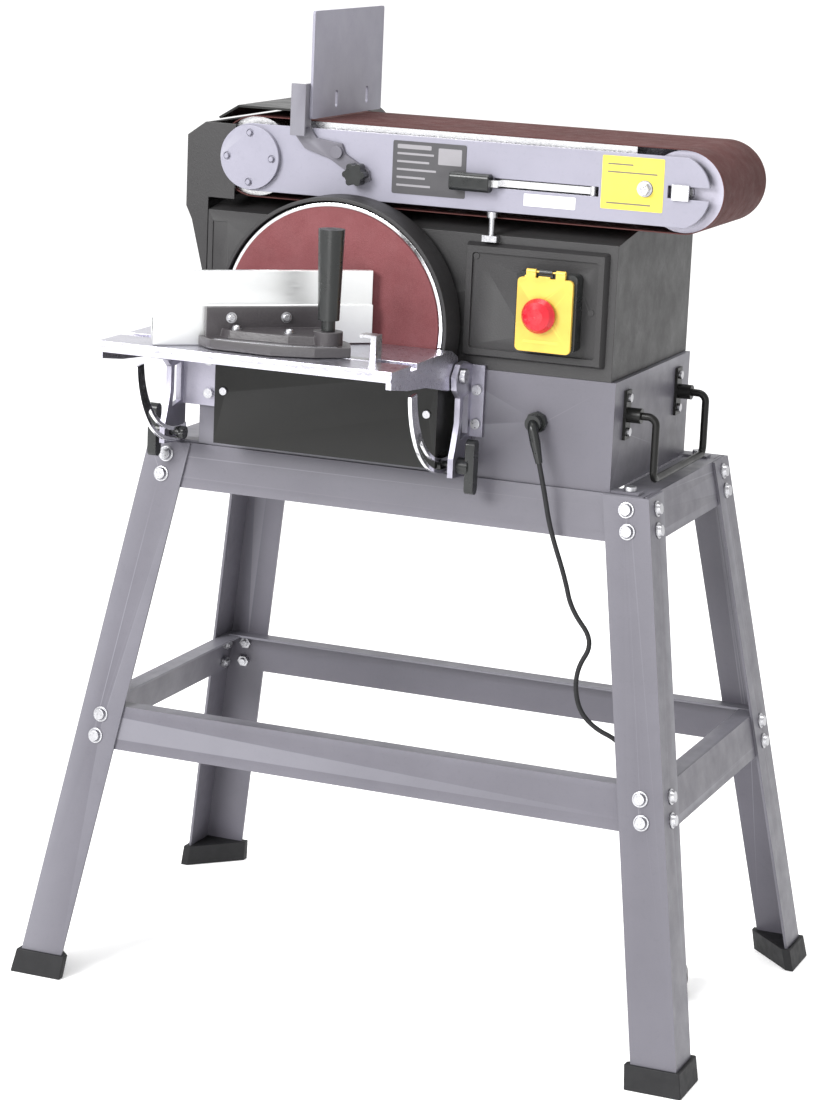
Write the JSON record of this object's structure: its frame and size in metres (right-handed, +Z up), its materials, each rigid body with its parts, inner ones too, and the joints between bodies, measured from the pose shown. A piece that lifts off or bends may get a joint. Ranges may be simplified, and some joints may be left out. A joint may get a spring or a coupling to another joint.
{
  "type": "belt and disc sander",
  "caption": "Stationary belt and disc sander on a splayed sheet-metal stand, with a tilting belt arm, tilting disc table, mitre gauge, emergency-stop switch and mains lead.",
  "frame": {"origin": "floor level, centre of the object's bounding box without the mains lead", "axes": "+X right along the front, +Y from the front to the back, +Z up"},
  "size_m": [0.786, 0.592, 1.075],
  "materials": {
    "paint_grey": "satin powder coat",
    "paint_charcoal": "textured powder coat",
    "paint_black": "satin",
    "arm_silver": "satin",
    "zinc": "zinc plated",
    "steel": "ground",
    "rubber_black": "matt",
    "plastic_black": "fine grain",
    "motor_paint": "painted",
    "aluminium_cast": "cast and milled",
    "aluminium_bright": "anodised",
    "iron_cast": "painted",
    "abrasive": "abrasive grit",
    "yellow": "gloss",
    "red": "gloss",
    "green": "gloss"
  },
  "bodies": {
    "stand_and_body": {"arm_post": "zinc", "base_cabinet": "paint_grey", "belt_guard": "paint_charcoal", "body_screws": "zinc", "cable_gland": "plastic_black", "cord_hank": "rubber_black", "disc_cover": "paint_black", "disc_guard": "paint_charcoal", "drive_belt": "rubber_black", "dust_port": "plastic_black", "feet": "rubber_black", "housing": "paint_charcoal", "leg_back_left": "paint_grey", "leg_back_right": "paint_grey", "leg_front_left": "paint_grey", "leg_front_right": "paint_grey", "lift_handle": "paint_black", "mains_cord": "rubber_black", "mains_plug": "plastic_black", "motor": "motor_paint", "pulley_cover": "paint_charcoal", "rails_low_long": "paint_grey", "rails_low_short": "paint_grey", "rails_top_long": "paint_grey", "rails_top_short": "paint_grey", "stand_bolts": "zinc", "switch_box": "plastic_black", "switch_panel": "paint_charcoal", "trunnions": "aluminium_cast"},
    "rotor": {"motor_shaft": "steel", "disc_plate": "aluminium_cast", "abrasive_disc": "abrasive", "pulley_motor": "aluminium_cast"},
    "drum": {"drive_drum": "steel", "pulley_drum": "aluminium_cast"},
    "belt_arm": {"arm_front_plate": "arm_silver", "arm_rear_plate": "arm_silver", "bearing_cover": "arm_silver", "platen": "steel", "arm_hood": "paint_black", "sanding_belt": "abrasive", "stop_plate": "arm_silver", "stop_bracket": "arm_silver"},
    "idler_carriage": {"idler_axle": "steel"},
    "idler": {"idler_drum": "aluminium_cast"},
    "tension": {"tension_lever": "steel", "tension_grip": "plastic_black"},
    "tracking": {"tracking_screw": "zinc"},
    "stop_clamp": {"stop_knob": "plastic_black"},
    "tilt_table": {"table": "aluminium_cast", "table_quadrants": "steel"},
    "lock_right": {"lock_knob_right": "plastic_black"},
    "lock_left": {"lock_knob_left": "plastic_black"},
    "miter_slide": {"miter_bar": "zinc"},
    "miter_gauge": {"miter_head": "iron_cast", "miter_fence": "aluminium_bright"},
    "miter_clamp": {"miter_handle": "plastic_black"},
    "flap": {"switch_flap": "yellow"},
    "stop_head": {"stop_button": "red"},
    "start_head": {"start_button": "green"}
  },
  "joints": [
    {"name": "motor_spin", "type": "hinge", "parent": "stand_and_body", "child": "rotor", "pos_m": [-0.059, 0.051, 0.757], "axis": [0, 1, 0], "continuous": true},
    {"name": "drum_spin", "type": "hinge", "parent": "stand_and_body", "child": "drum", "pos_m": [-0.175, 0.051, 0.918], "axis": [0, 1, 0], "continuous": true},
    {"name": "belt_arm_tilt", "type": "hinge", "parent": "stand_and_body", "child": "belt_arm", "pos_m": [-0.175, 0.051, 0.918], "axis": [0, -1, 0], "range_deg": [0, 90]},
    {"name": "idler_slide", "type": "slide", "parent": "belt_arm", "child": "idler_carriage", "axis": [1, 0, 0], "range_m": [-0.008, 0]},
    {"name": "idler_spin", "type": "hinge", "parent": "idler_carriage", "child": "idler", "pos_m": [0.30148, 0.051, 0.918], "axis": [0, 1, 0], "continuous": true},
    {"name": "tension_lever_swing", "type": "hinge", "parent": "belt_arm", "child": "tension", "pos_m": [0.206, -0.08, 0.912], "axis": [0, 0, 1], "range_deg": [0, 90]},
    {"name": "tracking_screw_turn", "type": "hinge", "parent": "belt_arm", "child": "tracking", "pos_m": [0.26348, -0.089, 0.919], "axis": [0, 1, 0], "range_deg": [-90, 90]},
    {"name": "stop_knob_turn", "type": "hinge", "parent": "belt_arm", "child": "stop_clamp", "pos_m": [-0.05, -0.099, 0.91], "axis": [0, 1, 0], "range_deg": [-180, 180]},
    {"name": "table_tilt", "type": "hinge", "parent": "stand_and_body", "child": "tilt_table", "pos_m": [0, -0.121, 0.714], "axis": [1, 0, 0], "range_deg": [0, 45]},
    {"name": "lock_right_turn", "type": "hinge", "parent": "stand_and_body", "child": "lock_right", "pos_m": [0.09, -0.11768, 0.61906], "axis": [1, 0, 0], "range_deg": [-60, 60]},
    {"name": "lock_left_turn", "type": "hinge", "parent": "stand_and_body", "child": "lock_left", "pos_m": [-0.26, -0.11768, 0.61906], "axis": [1, 0, 0], "range_deg": [-60, 60]},
    {"name": "miter_slide_x", "type": "slide", "parent": "tilt_table", "child": "miter_slide", "axis": [1, 0, 0], "range_m": [-0.06, 0.03]},
    {"name": "miter_swivel", "type": "hinge", "parent": "miter_slide", "child": "miter_gauge", "pos_m": [-0.015, -0.236, 0.76], "axis": [0, 0, 1], "range_deg": [-45, 20]},
    {"name": "miter_handle_turn", "type": "hinge", "parent": "miter_gauge", "child": "miter_clamp", "pos_m": [-0.015, -0.236, 0.78], "axis": [0, 0, 1], "range_deg": [-180, 180]},
    {"name": "switch_flap_lift", "type": "hinge", "parent": "stand_and_body", "child": "flap", "pos_m": [0.171, -0.1114, 0.8284], "axis": [-1, 0, 0], "range_deg": [0, 100]},
    {"name": "stop_button_press", "type": "slide", "parent": "flap", "child": "stop_head", "axis": [0, 1, 0], "range_m": [0, 0.0025], "stiffness_N_per_m": 400},
    {"name": "start_button_press", "type": "slide", "parent": "stand_and_body", "child": "start_head", "axis": [0, 1, 0], "range_m": [0, 0.0025], "stiffness_N_per_m": 400}
  ],
  "couplings": [
    {"joint": "drum_spin", "follows": "motor_spin", "ratio": 0.64516},
    {"joint": "idler_spin", "follows": "motor_spin", "ratio": 0.64516},
    {"joint": "tension_lever_swing", "follows": "idler_slide", "rad_per_m": -196}
  ]
}
